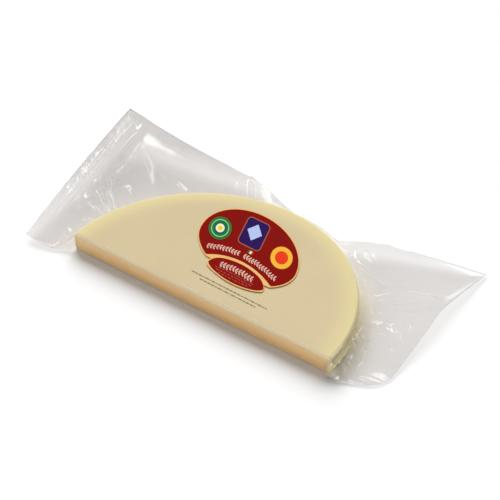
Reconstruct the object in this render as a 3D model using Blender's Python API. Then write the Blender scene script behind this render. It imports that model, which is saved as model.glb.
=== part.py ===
"""A half-moon slab of provolone cheese, vacuum packed in a clear pouch, with a die-cut label.

Frame: the straight cut runs along X, the round rind bulges towards +Y and +Z is up.
The pack lies on its flat underside at z = 0, with the origin under the middle of its box.
"""
import math

import bmesh
import bpy

MM = 0.001

# The slab, in metres: a disc cut just past its middle
DISC_RADIUS = 110 * MM
DISC_CENTRE_Y = 2.2 * MM            # the disc's centre lies this far behind the cut
SLAB_THICKNESS = 15 * MM
EDGE_ROUNDING = 2.6 * MM
RIND_SEGMENTS = 72

# The pouch's free margin of two layers of film, drawn thicker than film so that it is a solid
FILM_THICKNESS = 0.8 * MM
FLOOR_GAP = 0.1 * MM                # how far the margin stays above the slab's underside
MARGIN_ROOT = 8 * MM                # how deep the margin is let into the slab
TENT_TOP = 11.0 * MM                # where the film leaves the slab's wall, above
TENT_FOOT = 1.2 * MM                # and below
WALL_CLEARANCE = 0.2 * MM           # the margin's second row stands this far off the rind
MARGIN_ROWS = 13
FAN_STEP = 0.6                      # degrees between the rays that start at a slab's corner

# The margin's free edge in millimetres, from the left front corner of the slab round the back
# to the right front corner: x, y, height, how far the stretch that ends here bulges outwards,
# and its number of columns.
MARGIN_EDGE = [
    (-107.5, -1.2, 0.8, 0.0, 0),
    (-121.5, -10.5, 1.6, -0.6, 4),      # foot of the left front gusset
    (-145.0, -12.0, 5.0, 0.5, 5),       # front end of the heat seal
    (-165.0, 133.0, 24.0, 1.5, 20),     # back end of the heat seal, standing up
    (-51.0, 134.5, 8.0, -3.0, 16),      # where the margin is pinched behind the rind
    (-26.0, 128.0, 7.0, 0.8, 4),
    (0.0, 118.5, 7.0, -0.8, 4),
    (43.0, 111.5, 6.0, 1.8, 6),         # narrowest, tight against the rind
    (73.0, 127.5, 7.0, 1.0, 5),
    (145.0, 147.0, 1.2, 0.5, 10),       # back tip of the right margin, down on the table
    (142.0, 87.0, 10.0, -0.8, 10),      # crest of the wave in the open end
    (144.5, 20.0, 1.4, 0.4, 9),
    (131.0, 3.5, 1.0, 3.0, 4),          # rounded front corner
    (109.5, -3.0, 0.8, 1.5, 4),
]

# Gentle waves that the film keeps in its margin
WAVE_HEIGHT = 0.9 * MM
WAVES_ROUND = 11

# The label, drawn upright in millimetres, then leaned and stretched as it lies on the slab
LABEL_X = 0.8 * MM
LABEL_Y = 59.2 * MM
LABEL_WIDEN = 0.972
LABEL_LEAN = 0.39
LABEL_STRETCH = 1.19
LABEL_TILT = -0.028
LABEL_THICKNESS = 0.25 * MM
LABEL_GAP = 0.3 * MM
FIELD_MIDDLE = 0.65
FIELD_HALF_WIDTH = 44.0             # upper field: two half ellipses of unlike height
FIELD_TOP = 31.8
FIELD_FOOT = 25.5
FIELD_TIP = 28.5                    # where the upper field's foot is cut away, either side
TIE_HALF_WIDTH = 25.5               # lower field: a lens whose foot is an arc
TIE_TOP = -21.1
TIE_FOOT = -30.2
TIE_FOOT_RADIUS = 68.0
TIE_END_RADIUS = 3.2
LABEL_ARC_STEPS = 40

# Middle of the pack's box in plan, which comes to stand over the origin
BOX_MIDDLE_X = -10.0 * MM
BOX_MIDDLE_Y = 67.5 * MM


def clear_scene():
    """Empty the file, so that a second run starts from nothing."""
    for item in list(bpy.data.objects):
        bpy.data.objects.remove(item, do_unlink=True)


def collection(name):
    """A collection of this name in the scene, made once."""
    found = bpy.data.collections.get(name) or bpy.data.collections.new(name)
    if found.name not in bpy.context.scene.collection.children:
        bpy.context.scene.collection.children.link(found)
    return found


def material(name, colour, roughness):
    """A plain Principled material in the part's own colour."""
    made = bpy.data.materials.new(name)
    made.use_nodes = True
    shader = made.node_tree.nodes["Principled BSDF"]
    shader.inputs["Base Color"].default_value = (*colour, 1.0)
    shader.inputs["Roughness"].default_value = roughness
    shader.inputs["Metallic"].default_value = 0.0
    return made


def add_object(name, bm, home, finish):
    """Turn a bmesh into a smooth-shaded object, placed so that the pack stands at the origin."""
    mesh = bpy.data.meshes.new(name)
    bm.normal_update()
    bm.to_mesh(mesh)
    bm.free()
    mesh.materials.append(finish)
    mesh.shade_smooth()
    mesh.set_sharp_from_angle(angle=math.radians(40))
    made = bpy.data.objects.new(name, mesh)
    made.location = (-BOX_MIDDLE_X, -BOX_MIDDLE_Y, 0.0)
    home.objects.link(made)
    return made


def slab_mesh():
    """The half-moon: a corner spun round the rind, filled, pulled up, every edge rounded."""
    bm = bmesh.new()
    half_chord = math.sqrt(DISC_RADIUS ** 2 - DISC_CENTRE_Y ** 2)
    corner = bm.verts.new((half_chord, 0.0, 0.0))
    sweep = math.pi + 2.0 * math.asin(DISC_CENTRE_Y / DISC_RADIUS)
    bmesh.ops.spin(
        bm, geom=[corner], cent=(0.0, DISC_CENTRE_Y, 0.0), axis=(0.0, 0.0, 1.0),
        angle=sweep, steps=RIND_SEGMENTS,
    )
    bmesh.ops.contextual_create(bm, geom=bm.verts[:])
    pulled = bmesh.ops.extrude_face_region(bm, geom=bm.faces[:])
    lifted = [part for part in pulled["geom"] if isinstance(part, bmesh.types.BMVert)]
    bmesh.ops.translate(bm, verts=lifted, vec=(0.0, 0.0, SLAB_THICKNESS))
    bmesh.ops.recalc_face_normals(bm, faces=bm.faces)
    bm.normal_update()
    rims = [edge for edge in bm.edges if edge.calc_face_angle(0.0) > math.radians(45)]
    bmesh.ops.bevel(
        bm, geom=rims, offset=EDGE_ROUNDING, offset_type="OFFSET", segments=3,
        profile=0.5, affect="EDGES", material=-1,
    )
    return bm


def bowed(start, end, bow, share):
    """A point on the stretch from start to end, bulging to its left by so many millimetres."""
    along_x, along_y = end[0] - start[0], end[1] - start[1]
    length = math.hypot(along_x, along_y)
    side = bow * 4.0 * share * (1.0 - share)
    x = start[0] + along_x * share - along_y / length * side
    y = start[1] + along_y * share + along_x / length * side
    return x, y, start[2] + (end[2] - start[2]) * share


def edge_points():
    """The margin's free edge as evenly spaced points in metres, one for each column."""
    points = [MARGIN_EDGE[0][:3]]
    for start, end in zip(MARGIN_EDGE, MARGIN_EDGE[1:]):
        columns = end[4]
        points += [bowed(start, end, end[3], step / columns) for step in range(1, columns + 1)]
    return [(x * MM, y * MM, z * MM) for x, y, z in points]


def ray_angle(column, columns, edge_x, edge_y):
    """The direction from the disc's centre in which a column leaves the rind.

    It points at the column's free edge. Near both corners of the slab the columns fan out.
    """
    angle = math.degrees(math.atan2(edge_y - DISC_CENTRE_Y, edge_x))
    if angle < -90.0:
        angle += 360.0
    angle = min(angle, 178.0 - FAN_STEP * column)
    return math.radians(max(angle, 2.0 + FAN_STEP * (columns - column)))


def margin_place(row, angle, edge):
    """Plan position of a row: the root inside the slab, the foot on its wall, then outwards."""
    reach = DISC_RADIUS - MARGIN_ROOT if row == 0 else DISC_RADIUS + WALL_CLEARANCE
    x = reach * math.cos(angle)
    y = DISC_CENTRE_Y + reach * math.sin(angle)
    share = (max(row - 1, 0) / (MARGIN_ROWS - 1)) ** 1.4
    return x + (edge[0] - x) * share, y + (edge[1] - y) * share, share


def tent_reach(column, columns):
    """How far from the rind the two films meet: longest at the left front gusset."""
    share = column / columns
    return (9.0 + 9.0 * math.exp(-((share / 0.08) ** 2)) + 3.0 * (1.0 - share)) * MM


def margin_heights(column, columns, edge, x, y, share):
    """Heights of the margin's upper and lower film at a point."""
    off_rind = max(math.hypot(x, y - DISC_CENTRE_Y) - DISC_RADIUS - WALL_CLEARANCE, 0.0)
    closeness = max(1.0 - off_rind / tent_reach(column, columns), 0.0) ** 1.6
    lie = 3.0 * MM + (edge[2] - 3.0 * MM) * share ** 1.8
    wave = WAVE_HEIGHT * math.sin(2.0 * math.pi * WAVES_ROUND * column / columns)
    middle = lie + wave * math.sin(math.pi * share)
    upper = middle + FILM_THICKNESS / 2 + (TENT_TOP - middle) * closeness
    lower = middle - FILM_THICKNESS / 2 + (TENT_FOOT - middle) * closeness
    lift = max(FLOOR_GAP - lower, 0.0)
    return upper + lift, lower + lift


def margin_mesh():
    """The C-shaped margin: a grid laid from the root to the free edge and given two faces."""
    edge = edge_points()
    columns = len(edge) - 1
    bm = bmesh.new()
    bmesh.ops.create_grid(bm, x_segments=columns, y_segments=MARGIN_ROWS, size=0.5)
    pulled = bmesh.ops.extrude_face_region(bm, geom=bm.faces[:])
    raised = {part for part in pulled["geom"] if isinstance(part, bmesh.types.BMVert)}
    for vert in bm.verts:
        column = round((vert.co.x + 0.5) * columns)
        row = round((vert.co.y + 0.5) * MARGIN_ROWS)
        end = edge[column]
        angle = ray_angle(column, columns, end[0], end[1])
        x, y, share = margin_place(row, angle, end)
        upper, lower = margin_heights(column, columns, end, x, y, share)
        vert.co = (x, y, upper if vert in raised else lower)
    bmesh.ops.recalc_face_normals(bm, faces=bm.faces)
    return bm


def make_bag(home, cutters):
    """The closed pack: slab and margin joined into one solid."""
    film = material("film_over_cheese", (0.74, 0.62, 0.38), 0.25)
    bag = add_object("bag", slab_mesh(), home, film)
    margin = add_object("margin_shape", margin_mesh(), cutters, film)
    margin.hide_render = True
    margin.display_type = "WIRE"
    join = bag.modifiers.new("join_margin", "BOOLEAN")
    join.operation = "UNION"
    join.solver = "EXACT"
    join.object = margin


def half_ellipse(half_width, height, first, last):
    """Points on an ellipse centred 1.5 mm below the label's middle, between two angles."""
    for step in range(LABEL_ARC_STEPS + 1):
        angle = math.radians(first + (last - first) * step / LABEL_ARC_STEPS)
        yield FIELD_MIDDLE + half_width * math.cos(angle), height * math.sin(angle) - 1.5


def tie_outline():
    """The lower field's ends and foot, from its right end to its left."""
    foot_centre = TIE_FOOT + TIE_FOOT_RADIUS - 1.4
    end_x = TIE_HALF_WIDTH - TIE_END_RADIUS
    end_y = TIE_TOP - TIE_END_RADIUS
    for degrees in range(75, -76, -15):
        turn = math.radians(degrees)
        x = FIELD_MIDDLE + end_x + TIE_END_RADIUS * math.cos(turn)
        yield x, end_y + TIE_END_RADIUS * math.sin(turn)
    for step in range(1, LABEL_ARC_STEPS // 2):
        x = end_x * (1.0 - 2.0 * step / (LABEL_ARC_STEPS // 2))
        yield FIELD_MIDDLE + x, foot_centre - math.sqrt(TIE_FOOT_RADIUS ** 2 - x * x)
    for degrees in range(255, 104, -15):
        turn = math.radians(degrees)
        x = FIELD_MIDDLE - end_x + TIE_END_RADIUS * math.cos(turn)
        yield x, end_y + TIE_END_RADIUS * math.sin(turn)


def label_outline():
    """The die-cut outline, drawn upright: the upper field's rim, then the lower field's."""
    tip = math.degrees(math.acos(FIELD_TIP / FIELD_HALF_WIDTH))
    yield from half_ellipse(FIELD_HALF_WIDTH, FIELD_TOP, 0.0, 180.0)
    yield from list(half_ellipse(FIELD_HALF_WIDTH, FIELD_FOOT, 180.0, 180.0 + tip))[1:]
    yield from reversed(list(tie_outline()))
    yield from list(half_ellipse(FIELD_HALF_WIDTH, FIELD_FOOT, 360.0 - tip, 360.0))[:-1]


def laid(u, v):
    """Where a point of the upright drawing comes to lie on the slab, in metres."""
    x = LABEL_X + (LABEL_WIDEN * u - LABEL_LEAN * v) * MM
    y = LABEL_Y + (LABEL_STRETCH * v + LABEL_TILT * u) * MM
    return x, y


def make_label(home):
    """The label: a filled flat outline of the paper's thickness, just clear of the film."""
    curve = bpy.data.curves.new("label", "CURVE")
    curve.dimensions = "2D"
    curve.fill_mode = "BOTH"
    curve.extrude = LABEL_THICKNESS / 2
    points = [laid(u, v) for u, v in label_outline()]
    spline = curve.splines.new("POLY")
    spline.points.add(len(points) - 1)
    for point, (x, y) in zip(spline.points, points):
        point.co = (x, y, 0.0, 1.0)
    spline.use_cyclic_u = True
    curve.materials.append(material("label_paper", (0.27, 0.006, 0.005), 0.35))
    label = bpy.data.objects.new("label", curve)
    height = SLAB_THICKNESS + LABEL_GAP + LABEL_THICKNESS / 2
    label.location = (-BOX_MIDDLE_X, -BOX_MIDDLE_Y, height)
    home.objects.link(label)


def main():
    """Make the pack."""
    clear_scene()
    home = collection("provolone_pack")
    cutters = collection("joining_shapes")
    make_bag(home, cutters)
    make_label(home)


main()
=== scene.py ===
# %% [markdown]
# # A half-moon of provolone in a vacuum pouch
#
# A slab is cut from a big round cheese, slipped into a clear pouch, and the air is drawn out. The
# film clings to the cheese and the spare film stands round it as a wrinkled margin. A die-cut paper
# label lies on top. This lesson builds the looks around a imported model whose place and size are
# fixed: the `bag` solid is replaced by cheese and film, and the `label` solid is kept.

# %% Load the frame and note the box that the model may fill
import math

import bmesh
import bpy
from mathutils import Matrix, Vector, noise

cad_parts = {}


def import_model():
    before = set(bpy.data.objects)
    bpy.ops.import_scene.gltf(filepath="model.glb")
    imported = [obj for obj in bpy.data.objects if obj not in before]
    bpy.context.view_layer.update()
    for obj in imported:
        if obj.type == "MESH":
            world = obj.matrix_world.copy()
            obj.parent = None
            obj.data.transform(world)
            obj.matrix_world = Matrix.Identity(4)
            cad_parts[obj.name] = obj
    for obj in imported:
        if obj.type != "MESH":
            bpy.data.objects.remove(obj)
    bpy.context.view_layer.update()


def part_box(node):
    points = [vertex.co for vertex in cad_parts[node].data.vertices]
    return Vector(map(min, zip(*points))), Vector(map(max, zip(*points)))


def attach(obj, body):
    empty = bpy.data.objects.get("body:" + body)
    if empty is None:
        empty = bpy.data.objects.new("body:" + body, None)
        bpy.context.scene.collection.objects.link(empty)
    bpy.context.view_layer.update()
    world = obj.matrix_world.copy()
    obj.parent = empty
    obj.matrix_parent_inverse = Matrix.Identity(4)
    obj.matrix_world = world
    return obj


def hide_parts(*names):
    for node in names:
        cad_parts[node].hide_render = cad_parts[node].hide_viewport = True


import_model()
bag_low, bag_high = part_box("bag")
label_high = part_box("label")[1]
MM = 0.001
print("bag from", [round(v / MM, 1) for v in bag_low], "to", [round(v / MM, 1) for v in bag_high])

# %% [markdown]
# ## One frame for the whole pack
#
# The pack is easiest to think about from the middle of its straight cut: x runs along the cut, y
# towards the round rind, z up, all in millimetres. The film's margin reaches 165 mm to the left of
# that point and 12 mm in front of it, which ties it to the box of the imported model.

# %% From the slab's own millimetres to the model's metres
CUT_MIDDLE_X = bag_low[0] + 165 * MM
CUT_MIDDLE_Y = bag_low[1] + 12 * MM


def world(x, y, z):
    """A point given in the slab's own millimetres, in the model's metres."""
    return Vector((CUT_MIDDLE_X + x * MM, CUT_MIDDLE_Y + y * MM, z * MM))


DISC_RADIUS = 110.0
DISC_CENTRE_Y = 2.2
THICKNESS = 15.0
EDGE_ROUNDING = 2.6
print("cut middle at", [round(v, 4) for v in world(0, 0, 0)])

# %% [markdown]
# ## Small helpers
#
# Colours are picked as sRGB hex values, because that is what a colour picker shows, and turned
# linear by one function. One more function adds a shader node with its settings and its links.

# %% Colour and node helpers


def linear(hex_colour, alpha=1.0):
    """An sRGB hex colour as the linear values that shaders want."""
    channels = [int(hex_colour[i:i + 2], 16) / 255 for i in (1, 3, 5)]
    turned = [c / 12.92 if c <= 0.04045 else ((c + 0.055) / 1.055) ** 2.4 for c in channels]
    return (*turned, alpha)


def add_node(tree, kind, settings=None, **inputs):
    """Add one node; an input given as a socket is linked, any other value is set."""
    node = tree.nodes.new(kind)
    for name, value in (settings or {}).items():
        setattr(node, name, value)
    for name, value in inputs.items():
        socket = node.inputs[int(name[1:])] if name[0] == "_" else node.inputs[name.replace("_", " ")]
        if isinstance(value, bpy.types.NodeSocket):
            tree.links.new(value, socket)
        else:
            socket.default_value = value
    return node


def new_material(name):
    """An empty node material with its output."""
    material = bpy.data.materials.new(name)
    material.use_nodes = True
    tree = material.node_tree
    tree.nodes.clear()
    output = tree.nodes.new("ShaderNodeOutputMaterial")
    return material, tree, output


def keep_piece(name, bm, material, sharp=40.0):
    """Finish a bmesh as a smooth-shaded object that rides on the pack's one body."""
    bm.normal_update()
    mesh = bpy.data.meshes.new(name)
    bm.to_mesh(mesh)
    bm.free()
    mesh.materials.append(material)
    mesh.shade_smooth()
    mesh.set_sharp_from_angle(angle=math.radians(sharp))
    piece = bpy.data.objects.new(name, mesh)
    bpy.context.collection.objects.link(piece)
    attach(piece, "root")
    print(name, len(mesh.vertices), "points", len(mesh.polygons), "faces")
    return piece

# %% [markdown]
# ## The pouch
#
# The pouch is two sheets of film. Over the slab they cling; past the rind they meet and go on
# together as a margin. Cloth simulation could shrink a bag on to the slab, but its wrinkles fall
# where they like. Here one grid is wrapped round the whole pack instead: its columns run round the
# slab, its rows run from the middle of the top over the rim, out to the margin's free edge, and
# back below. Each point's place is a formula, so every fold can be put where it belongs.

# %% The margin's free edge
# x, y and height of each corner, how far the stretch before it bulges outwards, and the heading
# in degrees in which the film leaves the slab towards it.
FREE_EDGE = [
    (-107.5, -1.2, 0.8, 0.0, 262.0),
    (-121.5, -10.5, 1.6, -0.6, 214.0),
    (-145.0, -12.0, 5.0, 0.5, 187.0),
    (-165.0, 133.0, 24.0, 1.5, 141.5),
    (-51.0, 134.5, 8.0, -3.0, 111.0),
    (-26.0, 128.0, 7.0, 0.8, 101.7),
    (0.0, 118.5, 7.0, -0.8, 90.0),
    (43.0, 111.5, 6.0, 1.8, 68.5),
    (73.0, 127.5, 7.0, 1.0, 59.8),
    (145.0, 147.0, 1.2, 0.5, 45.0),
    (142.0, 87.0, 10.0, -0.8, 30.8),
    (144.5, 20.0, 1.4, 0.4, 7.0),
    (131.0, 3.5, 1.0, 3.0, -8.0),
    (109.5, -3.0, 0.8, 1.5, -75.0),
]
COLUMN_STEP = 1.3


def edge_columns():
    """Points along the free edge, about evenly spaced: x, y, height, heading, stretch, share."""
    columns = []
    for stretch, (start, end) in enumerate(zip(FREE_EDGE, FREE_EDGE[1:])):
        along_x, along_y = end[0] - start[0], end[1] - start[1]
        length = math.hypot(along_x, along_y)
        count = max(round(length / COLUMN_STEP), 3)
        first = 0 if stretch == 0 else 1
        for step in range(first, count + 1):
            share = step / count
            side = end[3] * 4.0 * share * (1.0 - share)
            x = start[0] + along_x * share - along_y / length * side
            y = start[1] + along_y * share + along_x / length * side
            z = start[2] + (end[2] - start[2]) * share
            heading = start[4] + (end[4] - start[4]) * share
            columns.append((x, y, z, heading, stretch, share))
    return columns


EDGE = edge_columns()
FRONT_COLUMNS = 60
print(len(EDGE), "columns in the margin,", FRONT_COLUMNS, "across the front")

# %% Where the film touches the slab
FILLET_X = math.sqrt((DISC_RADIUS - EDGE_ROUNDING) ** 2 - (EDGE_ROUNDING - DISC_CENTRE_Y) ** 2)


def rim(heading):
    """The line that the rounded rim turns about, and the outward direction there."""
    angle = math.radians(heading)
    normal = (math.cos(angle), math.sin(angle))
    reach = DISC_RADIUS - EDGE_ROUNDING
    x, y = reach * normal[0], DISC_CENTRE_Y + reach * normal[1]
    if y < EDGE_ROUNDING:
        x, y = math.copysign(FILLET_X, normal[0] if abs(normal[0]) > 1e-6 else x), EDGE_ROUNDING
    return x, y, normal


def ring_columns():
    """Every column round the slab: rim point, outward direction and its free edge, if it has one."""
    columns = []
    for x, y, z, heading, stretch, share in EDGE:
        rim_x, rim_y, normal = rim(heading)
        if heading > 180.0:
            rim_x = -abs(rim_x)
        columns.append((rim_x, rim_y, normal, (x, y, z, stretch, share)))
    for step in range(1, FRONT_COLUMNS):
        share = step / FRONT_COLUMNS
        columns.append((FILLET_X * (1.0 - 2.0 * share), EDGE_ROUNDING, (0.0, -1.0), None))
    return columns


RING = ring_columns()

# %% [markdown]
# ## The cheese
#
# The slab is a disc of cheese cut just past its middle: a straight cut face in front, the thin
# yellow rind behind, and every edge softened by the film's pull. It could be cut from a cylinder
# with a Boolean and bevelled. Wrapping a grid round the same columns that the film uses gives even,
# small faces instead of one huge one, so light runs smoothly over the rounded edges.

# %% Cheese mesh
FILM_GAP = 0.15
SLAB_TOP_ROWS, SLAB_RIM_ROWS, SLAB_WALL_ROWS = 10, 6, 3
HEART_Y = 46.0


def slab_rows():
    """Rows of the wrap: top, rounded rim, wall, rounded foot, underside."""
    rows = [("top", step / SLAB_TOP_ROWS) for step in range(SLAB_TOP_ROWS + 1)]
    rows += [("rim", step / SLAB_RIM_ROWS) for step in range(1, SLAB_RIM_ROWS + 1)]
    rows += [("wall", step / SLAB_WALL_ROWS) for step in range(1, SLAB_WALL_ROWS + 1)]
    rows += [("foot", step / SLAB_RIM_ROWS) for step in range(1, SLAB_RIM_ROWS + 1)]
    rows += [("under", 1.0 - step / SLAB_TOP_ROWS) for step in range(1, SLAB_TOP_ROWS + 1)]
    return rows


def slab_point(column, part, share):
    """Place of one grid point of the cheese, in the slab's millimetres."""
    rim_x, rim_y, (out_x, out_y), _ = RING[column]
    reach = EDGE_ROUNDING - FILM_GAP
    if part in ("top", "under"):
        height = THICKNESS - FILM_GAP if part == "top" else FILM_GAP
        return rim_x * share, HEART_Y + (rim_y - HEART_Y) * share, height
    turn = math.radians(90.0 * share)
    off, height = reach, THICKNESS - EDGE_ROUNDING
    if part == "rim":
        off, height = reach * math.sin(turn), height + reach * math.cos(turn)
    elif part == "wall":
        height += (EDGE_ROUNDING * 2.0 - THICKNESS) * share
    else:
        off, height = reach * math.cos(turn), EDGE_ROUNDING - reach * math.sin(turn)
    return rim_x + out_x * off, rim_y + out_y * off, height


def cheese_mesh():
    """The slab: a grid wrapped round it and closed by merging what meets."""
    rows = slab_rows()
    columns, spans = len(RING), len(rows) - 1
    bm = bmesh.new()
    bmesh.ops.create_grid(bm, x_segments=columns, y_segments=spans, size=0.5)
    for vert in bm.verts:
        column = round((vert.co.x + 0.5) * columns) % columns
        row = round((vert.co.y + 0.5) * spans)
        vert.co = world(*slab_point(column, *rows[row]))
    bmesh.ops.remove_doubles(bm, verts=bm.verts, dist=0.01 * MM)
    bmesh.ops.recalc_face_normals(bm, faces=bm.faces)
    return bm


# %% Cheese material


def cheese_material():
    """Firm pale cheese: soft light inside, yellower rind, faint mottling; painted shade and highlight on the
    cut face.
    """
    material, tree, output = new_material("provolone_cheese")
    place = add_node(tree, "ShaderNodeTexCoord").outputs["Object"]
    centre = world(0.0, DISC_CENTRE_Y, 0.0)
    moved = add_node(
        tree, "ShaderNodeMapping", {}, Vector=place, Location=(-centre.x, -centre.y, 0.0),
        Scale=(1.0, 1.0, 0.0),
    ).outputs["Vector"]
    reach = add_node(tree, "ShaderNodeVectorMath", {"operation": "LENGTH"}, _0=moved)
    rind = add_node(
        tree, "ShaderNodeMapRange", {"interpolation_type": "SMOOTHSTEP"}, Value=reach.outputs["Value"],
        From_Min=91 * MM, From_Max=109.5 * MM,
    ).outputs["Result"]
    cloud = add_node(
        tree, "ShaderNodeTexNoise", {}, Vector=place, Scale=28.0, Detail=3.0, Roughness=0.5,
    ).outputs["Fac"]
    body = add_node(
        tree, "ShaderNodeMix", {"data_type": "RGBA"}, Factor=cloud,
        _6=linear("#D7C49B"), _7=linear("#DECDA6"),
    ).outputs[2]
    colour = add_node(
        tree, "ShaderNodeMix", {"data_type": "RGBA"}, Factor=rind, _6=body, _7=linear("#E8DAA4"),
    ).outputs[2]
    apart = add_node(tree, "ShaderNodeSeparateXYZ", {}, Vector=place)
    # Painted shade: the cut face in front gets a browner colour, darker towards its foot, for the shade it
    # lies in.
    cut_face_shade_mask = add_node(
        tree, "ShaderNodeMapRange", {"interpolation_type": "SMOOTHSTEP"}, Value=apart.outputs["Y"],
        From_Min=CUT_MIDDLE_Y + 0.1 * MM, From_Max=CUT_MIDDLE_Y + 1.1 * MM, To_Min=1.0, To_Max=0.0,
    ).outputs["Result"]
    painted_shade_to_foot = add_node(
        tree, "ShaderNodeMapRange", {}, Value=apart.outputs["Z"], From_Min=0.0, From_Max=THICKNESS * MM,
    ).outputs["Result"]
    # The two colours of the cut face's painted shade: darkest at its foot, lighter at its top.
    cut = add_node(
        tree, "ShaderNodeMix", {"data_type": "RGBA"}, Factor=painted_shade_to_foot,
        _6=linear("#D8AA6C"), _7=linear("#E8C88F"),
    ).outputs[2]
    colour = add_node(
        tree, "ShaderNodeMix", {"data_type": "RGBA"}, Factor=cut_face_shade_mask, _6=colour, _7=cut,
    ).outputs[2]
    # Painted highlight: a pale band along the top of the cut face's rounded edge stands in for light on it.
    edge_highlight_band = add_node(
        tree, "ShaderNodeMapRange", {"interpolation_type": "SMOOTHSTEP"}, Value=apart.outputs["Y"],
        From_Min=CUT_MIDDLE_Y + 0.7 * MM, From_Max=CUT_MIDDLE_Y + 2.6 * MM, To_Min=1.0, To_Max=0.0,
    ).outputs["Result"]
    edge_highlight_height = add_node(
        tree, "ShaderNodeMapRange", {"interpolation_type": "SMOOTHSTEP"}, Value=apart.outputs["Z"],
        From_Min=12.8 * MM, From_Max=14.0 * MM,
    ).outputs["Result"]
    painted_edge_highlight = add_node(
        tree, "ShaderNodeMath", {"operation": "MULTIPLY"}, _0=edge_highlight_band, _1=edge_highlight_height,
    ).outputs["Value"]
    colour = add_node(
        tree, "ShaderNodeMix", {"data_type": "RGBA"}, Factor=painted_edge_highlight, _6=colour, _7=linear("#FFF0CC"),
    ).outputs[2]
    shader = add_node(
        tree, "ShaderNodeBsdfPrincipled", {}, Base_Color=colour, Roughness=0.5, IOR=1.45,
        Subsurface_Weight=0.15, Subsurface_Scale=2 * MM,
    )
    shader.inputs["Subsurface Radius"].default_value = (1.0, 0.7, 0.35)
    tree.links.new(shader.outputs["BSDF"], output.inputs["Surface"])
    return material


cheese = keep_piece("cheese_slab", cheese_mesh(), cheese_material(), sharp=180.0)
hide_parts("bag")

# %% [markdown]
# ### Folds in the film
#
# Spare film folds sharply: each fold has a crest like a roof, and it dies out at its ends. A fold
# is kept here as the line of its crest, its height and how wide its slopes are. Between them the
# film is slack and waves a little, and near the rind it is gathered into pleats.

# %% Folds, each a crest line with its height and the width of its slopes
UPPER_FOLDS = [
    # right margin: the sharp fold off the rind, and the shallow pocket below it
    ([(50, 109), (57, 108), (64, 103), (75, 100), (88, 98), (103, 97)], -1.1, 4.5),
    ([(92, 77), (93, 85), (98, 92), (106, 97), (116, 100), (129, 95)], 1.5, 5.0),
    ([(94, 76), (105, 76), (115, 79), (124, 87), (129, 95)], 1.3, 5.0),
    ([(92, 71), (103, 68), (112, 70), (126, 75), (137, 83)], 1.9, 5.5),
    ([(104, 51), (113, 57), (117, 60), (122, 58), (129, 52)], 1.5, 5.0),
    ([(107, 42), (119, 46), (132, 53)], 1.3, 5.0),
    ([(110, 30), (121, 33), (134, 44)], 0.9, 6.0),
    ([(112, -6), (113, 3), (112.5, 14), (110, 28)], 4.5, 3.5),
    # left margin: tight folds that run in to the rind
    ([(-146, 49), (-134, 46), (-112, 38)], 1.7, 4.5),
    ([(-146, 67), (-138, 61), (-116, 47)], 2.0, 6.0),
    ([(-130, 65), (-122, 60), (-105, 46)], 2.0, 5.5),
    ([(-146, 72), (-119, 70), (-100, 60)], -1.5, 6.0),
    ([(-117, 71), (-98, 62)], 1.6, 5.0),
    ([(-139, 87), (-125, 88), (-108, 95), (-92, 97), (-76, 94)], -1.0, 5.0),
    ([(-141, 18), (-129, 23), (-116, 26)], -1.6, 6.0),
    ([(-134, 30), (-122, 33), (-110, 32)], 1.2, 4.0),
    # the inner line of the heat seal, the swell behind it, and two dimples at its foot
    ([(-159, 137), (-158, 120), (-153, 100), (-148, 77),
      (-147, 60), (-141, 38), (-134, 16), (-129, -4)], 0.9, 3.2),
    ([(-151, 118), (-147, 98), (-146, 79)], 1.6, 6.0),
    ([(-148, 13), (-145, 6)], 1.3, 4.0),
    ([(-142, -5), (-137, -9)], 1.2, 4.0),
    ([(-120, 110), (-112, 106)], 0.8, 6.0),
    # back strip: a tuck where the margin is pinched
    ([(-51, 134), (-44, 126), (-35, 113)], 2.2, 3.5),
    ([(-58, 127), (-53, 113)], 0.9, 3.0),
]
LOWER_FOLDS = [
    ([(-150, 80), (-130, 60), (-111, 30)], 1.2, 6.0),
    ([(-150, 110), (-120, 96), (-96, 72)], -1.2, 8.0),
    ([(60, 118), (84, 104), (110, 96), (138, 100)], 1.3, 7.0),
    ([(104, 60), (124, 64), (140, 66)], 1.3, 6.0),
    ([(112, 20), (126, 30), (140, 36)], -1.0, 7.0),
]
FOLD_FADE = 9.0


def fold_table(folds):
    """Each fold as its straight pieces, with how far along the crest every piece starts."""
    table = []
    for points, height, width in folds:
        pieces, run = [], 0.0
        for (x0, y0), (x1, y1) in zip(points, points[1:]):
            length = math.hypot(x1 - x0, y1 - y0)
            pieces.append((x0, y0, (x1 - x0) / length, (y1 - y0) / length, length, run))
            run += length
        table.append((pieces, run, height, width))
    return table


def folds_at(x, y, table):
    """Height that all the folds of a sheet add up to at a point."""
    total = 0.0
    for pieces, length, height, width in table:
        nearest, along = width, 0.0
        for x0, y0, dir_x, dir_y, piece_length, run in pieces:
            reach = min(max((x - x0) * dir_x + (y - y0) * dir_y, 0.0), piece_length)
            off = math.hypot(x - x0 - dir_x * reach, y - y0 - dir_y * reach)
            if off < nearest:
                nearest, along = off, run + reach
        if nearest < width:
            fade = min(along / FOLD_FADE, (length - along) / FOLD_FADE, 1.0)
            total += height * max(fade, 0.0) ** 0.7 * (1.0 - nearest / width) ** 1.5
    return total


UPPER_TABLE, LOWER_TABLE = fold_table(UPPER_FOLDS), fold_table(LOWER_FOLDS)

# %% Slack, crumples and pleats


def blob(x, y, centre_x, centre_y, size):
    """A soft round patch, 1 at its middle."""
    return math.exp(-((x - centre_x) ** 2 + (y - centre_y) ** 2) / size ** 2)


def crumpled(x, y):
    """How crumpled the film is here, 0 to 1."""
    return min(0.7 * blob(x, y, 118, 58, 24) + 0.8 * blob(x, y, -128, 50, 32), 1.0)


def roof(value):
    """A zigzag between -1 and 1, sharp at both turns."""
    return 4.0 * abs(value - math.floor(value + 0.5)) - 1.0


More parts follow.
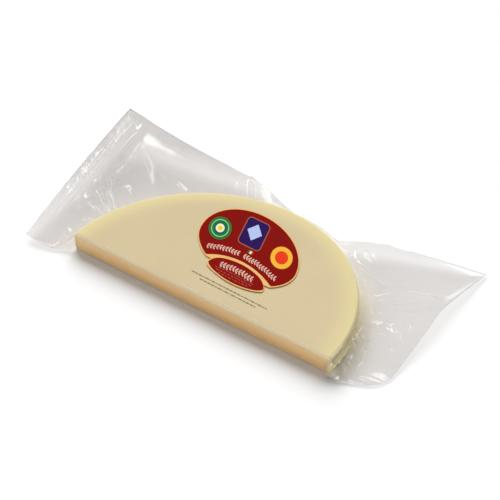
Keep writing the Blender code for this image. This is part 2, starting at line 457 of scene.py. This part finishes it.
def slack(x, y, seed):
    """Broad waves of the slack film, and sharp little facets where it is crumpled."""
    broad = noise.noise(Vector((x / 38.0, y / 38.0, seed)))
    bend = noise.noise(Vector((x / 19.0, y / 19.0, seed + 5.0)))
    facets = roof((x * 0.35 + y) / 13.0 + 1.1 * bend) + roof((x - y * 0.8) / 17.0 + 1.3 * bend + 0.3)
    fine = roof((x * 0.9 + y * 0.4) / 3.4 + 0.8 * bend) + roof((x * 0.3 - y) / 4.1 + 0.9 * bend)
    ridged = blob(x, y, 136, 64, 17) * min(max((x - 118.0) / 8.0, 0.0), 1.0)
    return 0.9 * broad, 0.2 * facets * crumpled(x, y) + 0.13 * fine * ridged


def pleats(heading, off_rind, seed):
    """Pleats where the film is gathered round the rind: sharp, uneven, dying out over 2 cm."""
    uneven = noise.noise(Vector((heading / 9.0, seed, 0.0)))
    strength = 0.5 + 0.5 * math.sin(math.radians(heading * 7.0 + 60.0 * uneven))
    gathered = math.exp(-(((heading - 165.0) / 28.0) ** 2)) + math.exp(-(((heading - 5.0) / 38.0) ** 2))
    rise = min(off_rind / 3.0, 1.0) * math.exp(-off_rind / 9.0)
    broad = 2.4 * strength * rise * roof(heading / 5.2 + 1.2 * uneven)
    tight = min(off_rind / 1.5, 1.0) * math.exp(-off_rind / 6.0)
    fine = 0.8 * tight * roof(heading / 2.1 + off_rind / 5.0 + 2.0 * uneven)
    return gathered * (broad + fine)


# %% Where the film leaves the slab, and how the two sheets lie in the margin
TENT_HEIGHTS = [
    (262, 2.6), (214, 11.0), (100, 10.5), (68, 9.5), (45, 8.5),
    (25, 10.0), (0, 11.0), (-30, 11.5), (-75, 8.0),
]
TENT_REACHES = [
    (262, 6.0), (214, 15.0), (170, 13.0), (111, 12.0), (68, 7.0),
    (45, 9.0), (20, 12.0), (-10, 14.0), (-75, 10.0),
]
SEAL_START, SEAL_END = FREE_EDGE[2], FREE_EDGE[3]
SEAL_STRETCH = 2


def read_off(table, heading):
    """Read a value off a table of headings, straight between its entries."""
    for (h0, v0), (h1, v1) in zip(table, table[1:]):
        if heading >= h1:
            share = min(max((h0 - heading) / (h0 - h1), 0.0), 1.0)
            return v0 + (v1 - v0) * share
    return table[-1][1]


def off_seal(x, y):
    """Distance inwards from the line of the heat seal's outer edge."""
    dir_x, dir_y = SEAL_END[0] - SEAL_START[0], SEAL_END[1] - SEAL_START[1]
    length = math.hypot(dir_x, dir_y)
    return ((x - SEAL_START[0]) * dir_y - (y - SEAL_START[1]) * dir_x) / length


def seal_relief(x, y, inside):
    """The heat seal: a curled lip, two welded bands of fine ridges, and a swell just inside."""
    along = y / 10.0
    lip = 0.7 * noise.noise(Vector((along * 3.1, 3.0, 0.0))) * max(1.0 - inside / 2.5, 0.0)
    band = math.exp(-(((inside - 8.0) / 4.2) ** 4))
    ridges = 0.17 * math.sin(inside * 1.9 + noise.noise(Vector((along, 0.0, 7.0)))) * band
    swell = 2.6 * math.exp(-(((inside - 15.5) / 4.0) ** 2)) * math.exp(-(((y - 92.0) / 30.0) ** 2))
    return lip + ridges + swell


def margin_sheet(x, y, edge_z, share, heading, off_rind, span, upper):
    """Height of one sheet of the margin at a point."""
    middle = 3.0 + (edge_z - 3.0) * share ** 1.8
    reach = min(read_off(TENT_REACHES, heading), 0.9 * span)
    closeness = max(1.0 - off_rind / reach, 0.0)
    free = min(off_rind / 5.0, 1.0)
    broad, facets = slack(x, y, 1.0)
    middle += broad * math.sin(math.pi * min(share * 1.1, 1.0)) + 0.5 * facets * free
    inside = off_seal(x, y)
    welded = math.exp(-((max(inside - 12.0, 0.0) / 5.0) ** 2)) if x < 0 else 0.0
    parted = (0.1 + (0.1 + 0.5 * (1.0 - share)) * (1.0 - welded)) * free
    if inside < 30.0:
        middle += seal_relief(x, y, inside) * min(free, 1.0)
    if upper:
        tent = (read_off(TENT_HEIGHTS, heading) - middle) * closeness ** 1.7
        own = folds_at(x, y, UPPER_TABLE) + 0.5 * facets + pleats(heading, off_rind, 1.0)
        return middle + parted + tent + own * free * (1.0 - 0.7 * welded)
    tent = (1.6 - middle) * closeness ** 1.7
    low_facets = slack(x, y, 9.0)[1]
    own = folds_at(x, y, LOWER_TABLE) + low_facets + 0.6 * pleats(heading, off_rind, 4.0)
    return max(middle - parted + tent + own * free * (1.0 - welded), 0.15)


# %% [markdown]
# ### Wrapping the grid
#
# A plain grid from `create_grid` is wrapped round the pack point by point. Its last column meets its
# first, its end rows shrink to a point, and across the front the margin shrinks to a line: merging
# doubles closes all of these, so the pouch ends as one closed skin.

# %% Rows of the grid
TOP_ROWS, RIM_ROWS, WALL_ROWS, MARGIN_ROWS, UNDER_ROWS = 8, 6, 4, 50, 3
SKIN = 0.0
FRONT_FOLD = 2.6


def ring_rows():
    """What each row does: which part of the wrap it lies on, and how far along that part."""
    rows = [("top", (step / TOP_ROWS) ** 0.7) for step in range(TOP_ROWS + 1)]
    rows += [("rim", step / RIM_ROWS) for step in range(1, RIM_ROWS + 1)]
    rows += [("wall", step / WALL_ROWS) for step in range(1, WALL_ROWS + 1)]
    rows += [("upper", step / MARGIN_ROWS) for step in range(1, MARGIN_ROWS + 1)]
    rows += [("lower", 1.0 - step / MARGIN_ROWS) for step in range(1, MARGIN_ROWS + 1)]
    rows += [("low_rim", step / RIM_ROWS) for step in range(1, RIM_ROWS + 1)]
    rows += [("under", 1.0 - step / UNDER_ROWS) for step in range(1, UNDER_ROWS + 1)]
    return rows


ROWS = ring_rows()


def wall_wrinkle(heading, height):
    """How far the film stands off the wall: gathered into small folds at the right-hand end."""
    gathered = math.exp(-(((heading + 15.0) / 40.0) ** 2))
    uneven = noise.noise(Vector((heading / 5.0, height / 6.0, 2.0)))
    sag = min(max((THICKNESS - EDGE_ROUNDING - height) / 3.0, 0.0), 1.0)
    coarse = 0.5 + 0.5 * roof(heading / 6.5 + 0.9 * uneven + height / 22.0)
    fine = 0.5 + 0.5 * roof(heading / 2.3 + 1.3 * uneven - height / 13.0)
    return sag * gathered * (1.1 * coarse + 0.7 * fine)


def film_point(column, row):
    """Place of one grid point, in the slab's millimetres."""
    rim_x, rim_y, (out_x, out_y), edge = RING[column]
    part, share = ROWS[row]
    reach = EDGE_ROUNDING + SKIN
    if part in ("top", "under"):
        height = THICKNESS + SKIN if part == "top" else 0.0
        return rim_x * share, HEART_Y + (rim_y - HEART_Y) * share, height
    if part in ("rim", "low_rim"):
        turn = math.radians(90.0 * share)
        off = reach * math.sin(turn) if part == "rim" else reach * math.cos(turn)
        rise = reach * math.cos(turn) if part == "rim" else -reach * math.sin(turn)
        middle = THICKNESS - EDGE_ROUNDING if part == "rim" else EDGE_ROUNDING
        return rim_x + out_x * off, rim_y + out_y * off, middle + rise
    heading = math.degrees(math.atan2(out_y, out_x))
    heading += 360.0 if heading < -90.0 else 0.0
    leave = read_off(TENT_HEIGHTS, heading) if edge else FRONT_FOLD
    top = THICKNESS - EDGE_ROUNDING
    wall_x, wall_y = rim_x + out_x * reach, rim_y + out_y * reach
    if part == "wall":
        height = top + (leave - top) * share
        off = wall_wrinkle(heading, height) if edge else 0.0
        return wall_x + out_x * off, wall_y + out_y * off, height
    if not edge:
        return wall_x, wall_y, FRONT_FOLD
    upper = part == "upper"
    start = wall_wrinkle(heading, leave) if upper else 0.0
    start_x, start_y = wall_x + out_x * start, wall_y + out_y * start
    if edge[3] == SEAL_STRETCH:
        edge = (edge[0] + 0.45 * (1.0 + roof(edge[1] / 3.3)), *edge[1:])
    eased = share ** 1.25
    x, y = start_x + (edge[0] - start_x) * eased, start_y + (edge[1] - start_y) * eased
    off_rind = math.hypot(x - start_x, y - start_y)
    span = math.hypot(edge[0] - start_x, edge[1] - start_y)
    height = margin_sheet(x, y, edge[2], eased, heading, off_rind, span, upper)
    if not upper and share == 0.0:
        height = FRONT_FOLD
    return x, y, height


def clinging(column, row):
    """1 where the film lies on the cheese, fading to 0 in the margin."""
    part, share = ROWS[row]
    if part in ("upper", "lower") and RING[column][3]:
        return 0.6 * max(1.0 - share * 4.0, 0.0)
    return 1.0 - 0.4 * share if part == "wall" and RING[column][3] else 1.0


def painted_glow_share(column, row):
    """How much painted warm light the film beside the rind gets, standing in for light thrown off the cheese.
    """
    part, share = ROWS[row]
    rim_x, rim_y, (out_x, out_y), edge = RING[column]
    if not edge or part not in ("rim", "wall", "upper"):
        return 0.0
    side = 0.3 + 0.7 * min(max((rim_x - 40.0) / 45.0, 0.0), 1.0)
    if part == "rim":
        return 0.4 * side * share ** 3
    if part == "wall":
        return side * (0.4 + 0.6 * share)
    off_rind = share ** 1.25 * math.hypot(edge[0] - rim_x, edge[1] - rim_y)
    return side * math.exp(-off_rind / 11.0)


def raised_film_shade(x, z):
    """Painted shade on the loose film, 0 to 1, as extra grey haze: most in the raised film of the sealed left
    end.
    """
    to_the_left = min(max((60.0 - x) / 80.0, 0.0), 1.0)
    raised = min(max((z - 2.0) / 13.0, 0.0), 1.0)
    return to_the_left * raised


def film_mesh():
    """The pouch: a grid wrapped round the pack and closed by merging what meets."""
    columns, rows = len(RING), len(ROWS) - 1
    bm = bmesh.new()
    bmesh.ops.create_grid(bm, x_segments=columns, y_segments=rows, size=0.5)
    cling = bm.verts.layers.float.new("cling")
    painted_glow = bm.verts.layers.float.new("painted_glow")
    painted_shade = bm.verts.layers.float.new("painted_shade")
    for vert in bm.verts:
        column = round((vert.co.x + 0.5) * columns) % columns
        row = round((vert.co.y + 0.5) * rows)
        x, y, z = film_point(column, row)
        vert.co = world(x, y, z)
        vert[painted_shade] = raised_film_shade(x, z)
        vert[cling] = clinging(column, row)
        vert[painted_glow] = painted_glow_share(column, row)
    bmesh.ops.remove_doubles(bm, verts=bm.verts, dist=0.02 * MM)
    bmesh.ops.recalc_face_normals(bm, faces=bm.faces)
    return bm

# %% [markdown]
# ### What the film is made of
#
# The pouch is a laminate of polyamide and polyethylene, about 0.1 mm thick. It lets nearly all light
# through, mirrors more of the room the flatter it is looked at, and has a faint grey haze. Where it
# clings to moist cheese there is no air behind it, so haze and mirror both fade. The raised film of
# the sealed end gets extra grey haze as painted shade, and beside the rind the film gets a painted
# yellow glow that stands in for light thrown off the cheese. Each of the three is kept as a value
# on every point of the mesh.

# %% Film material


def film_material():
    """Clear laminate: see-through, a little haze, and a mirror that grows at flat angles."""
    material, tree, output = new_material("clear_laminate_film")
    cling = add_node(
        tree, "ShaderNodeAttribute", {"attribute_type": "GEOMETRY", "attribute_name": "cling"},
    ).outputs["Fac"]
    painted_glow = add_node(
        tree, "ShaderNodeAttribute", {"attribute_type": "GEOMETRY", "attribute_name": "painted_glow"},
    ).outputs["Fac"]
    painted_shade = add_node(
        tree, "ShaderNodeAttribute", {"attribute_type": "GEOMETRY", "attribute_name": "painted_shade"},
    ).outputs["Fac"]
    # Painted shade: the grey haze thickens on the raised film of the sealed left end.
    gathered = add_node(
        tree, "ShaderNodeMapRange", {}, Value=painted_shade, From_Min=0.0, From_Max=1.0, To_Min=0.032, To_Max=0.27,
    ).outputs["Result"]
    thin_haze = add_node(
        tree, "ShaderNodeMapRange", {}, Value=cling, From_Min=0.0, From_Max=1.0, To_Min=gathered, To_Max=0.0,
    ).outputs["Result"]
    # The painted glow beside the rind thickens the haze, as painted warm light.
    haze = add_node(
        tree, "ShaderNodeMath", {"operation": "MULTIPLY_ADD", "use_clamp": True},
        _0=painted_glow, _1=0.46, _2=thin_haze,
    ).outputs["Value"]
    # The haze turns yellow where the painted glow is: painted warm light from the cheese.
    veil = add_node(
        tree, "ShaderNodeMix", {"data_type": "RGBA"}, Factor=painted_glow,
        _6=linear("#C9C3BE"), _7=linear("#F4E4A8"),
    ).outputs[2]
    tint = add_node(
        tree, "ShaderNodeMix", {"data_type": "RGBA"}, Factor=cling,
        _6=(0.972, 0.964, 0.96, 1.0), _7=(1.0, 1.0, 1.0, 1.0),
    ).outputs[2]
    clear = add_node(tree, "ShaderNodeBsdfTransparent", {}, Color=tint).outputs["BSDF"]
    milky = add_node(tree, "ShaderNodeBsdfDiffuse", {}, Color=veil).outputs["BSDF"]
    sheet = add_node(tree, "ShaderNodeMixShader", {}, _0=haze, _1=clear, _2=milky).outputs["Shader"]
    mirror = add_node(
        tree, "ShaderNodeBsdfGlossy", {}, Color=(1.0, 1.0, 1.0, 1.0), Roughness=0.09,
    ).outputs["BSDF"]
    facing = add_node(tree, "ShaderNodeLayerWeight", {}, Blend=0.5).outputs["Facing"]
    flat_angle = add_node(tree, "ShaderNodeMath", {"operation": "POWER"}, _0=facing, _1=5.0).outputs["Value"]
    straight_on = add_node(
        tree, "ShaderNodeMapRange", {}, Value=cling, From_Min=0.0, From_Max=1.0, To_Min=0.07, To_Max=0.035,
    ).outputs["Result"]
    fraction = add_node(
        tree, "ShaderNodeMath", {"operation": "MULTIPLY_ADD", "use_clamp": True},
        _0=flat_angle, _1=0.9, _2=straight_on,
    ).outputs["Value"]
    surface = add_node(tree, "ShaderNodeMixShader", {}, _0=fraction, _1=sheet, _2=mirror)
    tree.links.new(surface.outputs["Shader"], output.inputs["Surface"])
    return material


film = keep_piece("pouch_film", film_mesh(), film_material(), sharp=180.0)
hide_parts("bag")

# %% [markdown]
# ## The label
#
# The label is die-cut from gold paper and printed: a wide red field, a narrow one below it, and three
# round or square badges. All print is drawn upright first and then laid on the slab by the same slant
# and stretch as the paper. Each colour is its own thin shape a few hundredths of a millimetre above
# the last, as layers of ink are. Lettering gives way to leaf sprigs and plain dashes.

# %% Laying shapes on the label
LABEL_X, LABEL_Y = 0.8, 59.2
LABEL_WIDEN, LABEL_LEAN = 0.972, 0.39
LABEL_STRETCH, LABEL_TILT = 1.19, -0.028
PAPER_TOP = label_high[2] / MM
LAYER = 0.05
INK = 0.02


def laid(u, v, z):
    """Where a point of the upright drawing lies on the slab."""
    x = LABEL_X + LABEL_WIDEN * u - LABEL_LEAN * v
    return world(x, LABEL_Y + LABEL_STRETCH * v + LABEL_TILT * u, z)


def ink_shape(bm, outline, height):
    """Add one flat closed shape of ink, given its outline in the upright drawing."""
    face = bm.faces.new([bm.verts.new(laid(u, v, height)) for u, v in outline])
    grown = bmesh.ops.extrude_face_region(bm, geom=[face])
    lifted = [part for part in grown["geom"] if isinstance(part, bmesh.types.BMVert)]
    bmesh.ops.translate(bm, verts=lifted, vec=(0.0, 0.0, INK * MM))


def printed(name, outlines, layer, material, base=None):
    """A piece made of flat shapes of one ink, on a given layer above the paper."""
    bm = bmesh.new()
    height = (PAPER_TOP if base is None else base) + LAYER * layer
    for outline in outlines:
        ink_shape(bm, outline, height)
    bmesh.ops.recalc_face_normals(bm, faces=bm.faces)
    return keep_piece(name, bm, material, sharp=30.0)


def ellipse(centre_u, centre_v, half_u, half_v, first=0.0, last=360.0, lean=0.0, steps=48):
    """Points along an ellipse between two angles, turned by lean degrees."""
    whole = abs(last - first) > 359.9
    turn = math.radians(lean)
    points = []
    for step in range(steps if whole else steps + 1):
        angle = math.radians(first + (last - first) * step / steps)
        across, up = half_u * math.cos(angle), half_v * math.sin(angle)
        points.append((
            centre_u + across * math.cos(turn) - up * math.sin(turn),
            centre_v + across * math.sin(turn) + up * math.cos(turn),
        ))
    return points


def arc_band(centre_u, centre_v, inner, outer, first=0.0, last=359.8):
    """A ring, or part of one, as one outline."""
    back = ellipse(centre_u, centre_v, inner, inner, first, last)
    return ellipse(centre_u, centre_v, outer, outer, first, last) + back[::-1]

# %% [markdown]
# ### Paper and inks
#
# The paper is a metallised gold stock: a soft satin sheen, no mirror. The inks are offset inks with
# a thin varnish. An even ink looks like plastic, so its tone drifts by a few percent over centimetres
# and its roughness with it.

# %% Paper and ink materials


def gold_paper():
    """Gold-coloured satin paper."""
    material, tree, output = new_material("gold_paper")
    place = add_node(tree, "ShaderNodeTexCoord").outputs["Object"]
    fibre = add_node(
        tree, "ShaderNodeTexNoise", {}, Vector=place, Scale=140.0, Detail=3.0, Roughness=0.5,
    ).outputs["Fac"]
    colour = add_node(
        tree, "ShaderNodeMix", {"data_type": "RGBA"}, Factor=fibre,
        _6=linear("#F0B667"), _7=linear("#F7C47A"),
    ).outputs[2]
    shader = add_node(
        tree, "ShaderNodeBsdfPrincipled", {}, Base_Color=colour, Metallic=0.15, Roughness=0.45, IOR=1.5,
    )
    tree.links.new(shader.outputs["BSDF"], output.inputs["Surface"])
    return material


def offset_ink(name, hex_colour, roughness=0.42, drift=0.08):
    """A varnished printing ink whose tone and gloss drift slightly."""
    material, tree, output = new_material(name)
    place = add_node(tree, "ShaderNodeTexCoord").outputs["Object"]
    cloud = add_node(
        tree, "ShaderNodeTexNoise", {}, Vector=place, Scale=60.0, Detail=4.0, Roughness=0.55,
    ).outputs["Fac"]
    full = linear(hex_colour)
    weak = tuple(c * (1.0 - drift) for c in full[:3]) + (1.0,)
    colour = add_node(
        tree, "ShaderNodeMix", {"data_type": "RGBA"}, Factor=cloud, _6=weak, _7=full,
    ).outputs[2]
    gloss = add_node(
        tree, "ShaderNodeMapRange", {}, Value=cloud, To_Min=roughness - 0.05, To_Max=roughness + 0.05,
    ).outputs["Result"]
    shader = add_node(
        tree, "ShaderNodeBsdfPrincipled", {}, Base_Color=colour, Roughness=gloss, IOR=1.45,
        Specular_IOR_Level=0.05,
    )
    tree.links.new(shader.outputs["BSDF"], output.inputs["Surface"])
    return material


paper = bpy.data.objects["label"]
paper.material_slots[0].material = gold_paper()
print("label paper top at", round(PAPER_TOP, 2), "mm")

# %% [markdown]
# ### The two red fields
#
# The paper shows as a gold line round both fields, about one millimetre wide, and as a wider gold band
# where they meet. The upper field is two half ellipses cut away below by an arc; the lower one hangs
# under an arc about the same centre, so that the band between them keeps an even width.

# %% Red fields
RIM_WIDTH = 0.9
FIELD_MIDDLE = 0.65
BAND_CENTRE = (1.0, -72.1)
UPPER_FOOT_RADIUS, LOWER_TOP_RADIUS = 59.8, 57.6
LOWER_FOOT_CENTRE, LOWER_FOOT_RADIUS = (1.0, 36.4), 67.1


def upper_field():
    """The wide field: an egg-like outline with its foot cut away by the arc."""
    outline = ellipse(FIELD_MIDDLE, -1.5, 44.0 - RIM_WIDTH, 31.8 - RIM_WIDTH, 0.0, 180.0)
    low_left, low_right = [], []
    for u, v in ellipse(FIELD_MIDDLE, -1.5, 44.0 - RIM_WIDTH, 25.5 - RIM_WIDTH, 180.0, 360.0, steps=96)[1:-1]:
        outside = math.hypot(u - BAND_CENTRE[0], v - BAND_CENTRE[1]) > UPPER_FOOT_RADIUS
        if outside:
            (low_left if u < 0.0 else low_right).append((u, v))
    first = math.degrees(math.atan2(low_left[-1][1] - BAND_CENTRE[1], low_left[-1][0] - BAND_CENTRE[0]))
    last = math.degrees(math.atan2(low_right[0][1] - BAND_CENTRE[1], low_right[0][0] - BAND_CENTRE[0]))
    foot = ellipse(*BAND_CENTRE, UPPER_FOOT_RADIUS, UPPER_FOOT_RADIUS, first, last)[1:-1]
    return outline + low_left + foot + low_right


def lower_field():
    """The narrow field: a lens between two arcs, its ends drawn down and rounded."""
    top, foot = [], []
    for step in range(65):
        share = math.sin(math.radians(90.0 * (step / 32.0 - 1.0)))
        u = 1.0 + 24.6 * share
        off = u - BAND_CENTRE[0]
        droop = 3.6 * abs(share) ** 9
        top.append((u, BAND_CENTRE[1] + math.sqrt(LOWER_TOP_RADIUS ** 2 - off * off) - droop))
        lift = 1.6 * abs(share) ** 12
        foot.append((u, LOWER_FOOT_CENTRE[1] - math.sqrt(LOWER_FOOT_RADIUS ** 2 - off * off) + lift))
    return foot + top[::-1]


red_ink = offset_ink("red_ink", "#86100A")
printed("label_red_fields", [upper_field(), lower_field()], 1, red_ink)

# %% [markdown]
# ### Badges
#
# Left, a green disc with a pale ring and plain discs inside it. Middle, a navy panel with rounded
# corners, a copper line round it and a pale-blue lozenge. Right, a yellow disc with an orange-red one
# in it. They are plain fields of colour and stand for no mark.

# %% Badges
GREEN, PLAQUE, SEAL = (-27.6, 4.3), (-0.3, 13.5), (28.2, 4.6)


def panel(half_width, half_height, corner):
    """A panel with rounded corners about the plaque's centre, one unit below it."""
    centre_u, centre_v = PLAQUE[0], PLAQUE[1] - 1.0
    points = []
    for side_u, side_v, start in ((1, 1, 0.0), (-1, 1, 90.0), (-1, -1, 180.0), (1, -1, 270.0)):
        middle_u = centre_u + side_u * (half_width - corner)
        middle_v = centre_v + side_v * (half_height - corner)
        points += ellipse(middle_u, middle_v, corner, corner, start, start + 90.0, steps=8)
    return points


green_ink = offset_ink("green_ink", "#1E7C36")
cream_ink = offset_ink("cream_ink", "#F3EFC6")
printed("badge_green", [ellipse(*GREEN, 9.5, 9.5)], 2, green_ink)
printed("badge_ring", [arc_band(*GREEN, 6.8, 7.5, 0.0, 359.0)], 3, offset_ink("pale_green_ink", "#A5D3A0"))
printed("badge_middle", [ellipse(*GREEN, 5.0, 5.0)], 3, offset_ink("teal_ink", "#1C5C5E"))
printed("badge_pale_disc", [ellipse(*GREEN, 3.7, 3.7)], 4, cream_ink)
printed("badge_yellow_disc", [ellipse(*GREEN, 1.9, 1.9)], 5, offset_ink("yellow_ink", "#E9CF3A"))
printed("plaque_rim", [panel(10.4, 12.4, 3.9)], 2, offset_ink("copper_ink", "#A65B43"))
printed("plaque_field", [panel(9.5, 11.5, 3.0)], 3, offset_ink("navy_ink", "#2C1658"))
lozenge = [(PLAQUE[0] + 6.6, PLAQUE[1]), (PLAQUE[0], PLAQUE[1] + 7.4)]
lozenge += [(PLAQUE[0] - 6.6, PLAQUE[1]), (PLAQUE[0], PLAQUE[1] - 7.4)]
printed("plaque_lozenge", [lozenge], 4, offset_ink("pale_blue_ink", "#B5C6F2"))
printed("ribbon_green", [[(1.4, -3.6), (2.9, -3.9), (3.3, -1.5), (1.9, -1.3)]], 2, green_ink)
printed("ribbon_pale", [[(2.9, -3.9), (4.6, -4.0), (4.9, -1.5), (3.3, -1.5)]], 2, cream_ink)
printed(
    "ribbon_red", [[(4.6, -4.0), (6.2, -3.7), (6.4, -1.4), (4.9, -1.5)]], 2,
    offset_ink("bright_red_ink", "#C8321F"),
)
printed("seal_yellow", [ellipse(*SEAL, 9.0, 9.0)], 2, offset_ink("warm_yellow_ink", "#F8B83C"))
printed("seal_disc", [ellipse(*SEAL, 5.3, 5.3)], 3, offset_ink("orange_red_ink", "#EA3F1E"))

# %% [markdown]
# ### Sprigs and small print
#
# Three leaf sprigs run along the fields: a thin wavy stem with slanted leaves on both sides. Lines of
# small print are rows of dashes of uneven length, as words would be.

# %% Sprigs


def stem_point(start, end, sag, share):
    """A point on the sprig's stem, which sags between its ends and waves a little."""
    wave = 0.35 * math.sin(share * 21.0)
    u = start[0] + (end[0] - start[0]) * share
    v = start[1] + (end[1] - start[1]) * share + sag * 4.0 * share * (1.0 - share) + wave
    return u, v


def sprig(start, end, sag, pairs, size):
    """A stem and its leaves as separate outlines: even pairs that slant towards the end."""
    steps = pairs * 2
    upper = [stem_point(start, end, sag, step / steps) for step in range(steps + 1)]
    lower = [(u, v - 0.4) for u, v in upper]
    shapes = [upper + lower[::-1]]
    for pair in range(pairs):
        u, v = stem_point(start, end, sag, (pair + 0.5) / pairs)
        for side in (1.0, -1.0):
            shapes.append(
                ellipse(u, v + side * 0.5 * size - 0.2, size * 0.56, size * 0.26, lean=side * 48.0, steps=14)
            )
    return shapes


cream = offset_ink("pale_rose_ink", "#E3B5A2")
sprigs = sprig((-31.0, -13.4), (-3.6, -7.6), 1.6, 11, 2.3)
sprigs += sprig((-0.2, -7.6), (31.2, -13.4), 1.6, 13, 2.3)
sprigs += sprig((-14.4, -21.8), (15.0, -21.6), 1.4, 11, 2.5)
printed("label_sprigs", sprigs, 2, cream)

# %% Small print


def dashes(start, end, sag, height, seed):
    """A row of dashes from start to end: lengths of 0.7 to 3 mm with short gaps."""
    shapes = []
    length = math.hypot(end[0] - start[0], end[1] - start[1])
    run, count = 0.0, 0
    while run < length - 0.8:
        word = 0.7 + 2.4 * abs(math.sin(seed + count * 1.7))
        stop = min(run + word, length)
        low_u, low_v = stem_free(start, end, sag, run / length)
        top_u, top_v = stem_free(start, end, sag, stop / length)
        shapes.append([(low_u, low_v), (top_u, top_v), (top_u, top_v + height), (low_u, low_v + height)])
        run, count = stop + 0.9, count + 1
    return shapes


def stem_free(start, end, sag, share):
    """A point on a plain sagging line."""
    u = start[0] + (end[0] - start[0]) * share
    return u, start[1] + (end[1] - start[1]) * share + sag * 4.0 * share * (1.0 - share)


rose_rows = dashes((-17.0, -25.2), (17.0, -25.0), 0.6, 0.5, 0.4)
rose_rows += dashes((-15.5, -26.9), (15.8, -26.6), 0.2, 0.5, 1.9)
rose_rows += dashes((-12.9, -28.6), (13.6, -28.3), -0.2, 0.5, 2.6)
printed("label_small_rows", rose_rows, 2, offset_ink("dull_rose_ink", "#C2564A"))

dark_rows = dashes((-32.3, -36.3), (34.1, -36.3), 0.0, 0.5, 0.9)
dark_rows += dashes((-23.5, -39.0), (25.4, -39.0), 0.0, 0.5, 2.2)
printed("film_print_rows", dark_rows, 1, offset_ink("brown_ink", "#7A6A4E"), base=THICKNESS)

# %% [markdown]
# ## Studio
#
# A white sweep, an even white surround, and one large soft key above and behind the pack, so that
# the cut face lies in soft shade and its shadow falls forwards. A low fill in front lifts the cut
# face. Lamps are white.

# %% Floor, surround and lamps


def make_floor():
    """A white floor, four metres square, that isn't part of the pack."""
    bm = bmesh.new()
    bmesh.ops.create_grid(bm, x_segments=1, y_segments=1, size=2.0)
    mesh = bpy.data.meshes.new("studio_floor")
    bm.to_mesh(mesh)
    bm.free()
    material, tree, output = new_material("white_sweep")
    shader = add_node(tree, "ShaderNodeBsdfDiffuse", {}, Color=(0.98, 0.98, 0.98, 1.0))
    tree.links.new(shader.outputs["BSDF"], output.inputs["Surface"])
    mesh.materials.append(material)
    floor = bpy.data.objects.new("studio_floor", mesh)
    bpy.context.collection.objects.link(floor)
    return floor


make_floor()

surround = bpy.data.worlds.new("white_surround")
bpy.context.scene.world = surround
surround.use_nodes = True
surround.node_tree.nodes["Background"].inputs["Color"].default_value = (1.0, 1.0, 1.0, 1.0)
surround.node_tree.nodes["Background"].inputs["Strength"].default_value = 0.23


def aim(lamp, target):
    """Turn an object so that it looks at a point."""
    lamp.rotation_mode = "QUATERNION"
    lamp.rotation_quaternion = (target - lamp.location).to_track_quat("-Z", "Y")


def softbox(name, place, target, width, height, power):
    """A white area lamp aimed at a point; places in metres."""
    data = bpy.data.lights.new(name, "AREA")
    data.shape = "RECTANGLE"
    data.size, data.size_y = width, height
    data.energy = power
    lamp = bpy.data.objects.new(name, data)
    lamp.location = place
    bpy.context.collection.objects.link(lamp)
    aim(lamp, target)
    return lamp


def sun(name, place, angle, strength):
    """A very large soft lamp far away, shining from a direction towards the middle."""
    data = bpy.data.lights.new(name, "SUN")
    data.angle = math.radians(angle)
    data.energy = strength
    lamp = bpy.data.objects.new(name, data)
    lamp.location = place
    lamp.visible_glossy = False
    bpy.context.collection.objects.link(lamp)
    aim(lamp, Vector((0.0, 0.0, 0.0)))
    return lamp


sun("key", Vector((-0.95, 1.3, 1.3)), 50.0, 3.95)
softbox("front_fill", Vector((0.2, -2.2, 0.35)), Vector((0.0, 0.0, 0.0)), 1.6, 0.5, 13.0)

# %% [markdown]
# Clear film shows only by what it mirrors. The big key is kept out of its mirror image, and narrow
# strips behind, above and beside the pack draw the thin bright lines along the folds.

# %% Strips for the film to mirror
strips = [
    softbox("strip_low", Vector((-0.6, 1.81, 0.58)), Vector((0, 0, 0)), 0.8, 0.12, 0.45),
    softbox("strip_back_left", Vector((-1.21, 0.42, 1.53)), Vector((0, 0, 0)), 0.14, 1.3, 2.8),
    softbox("strip_back_right", Vector((-0.22, 1.31, 1.49)), Vector((0, 0, 0)), 0.1, 0.9, 1.1),
    softbox("strip_above", Vector((0.25, -0.35, 1.95)), Vector((0, 0, 0)), 1.4, 0.2, 3.6),
    softbox("strip_right", Vector((1.3, 1.2, 0.9)), Vector((0, 0, 0)), 0.34, 1.3, 9.0),
]
for strip in strips:
    strip.visible_diffuse = False

# %% [markdown]
# ## Camera
#
# A long lens from the right-hand front, forty degrees above the table, so that the parallel lines of
# the pack stay almost parallel.

# %% Camera
AZIMUTH, ELEVATION, DISTANCE = math.radians(35.758), math.radians(40.34), 1.1458
camera_data = bpy.data.cameras.new("camera")
camera_data.lens = 115.2
camera_data.sensor_width = 36.0
camera = bpy.data.objects.new("camera", camera_data)
bpy.context.collection.objects.link(camera)
look_at = world(-7.1, 72.8, 0.0)
camera.location = look_at + DISTANCE * Vector((
    math.sin(AZIMUTH) * math.cos(ELEVATION),
    -math.cos(AZIMUTH) * math.cos(ELEVATION),
    math.sin(ELEVATION),
))
aim(camera, look_at)
bpy.context.scene.camera = camera
bpy.context.scene.view_settings.view_transform = "Standard"
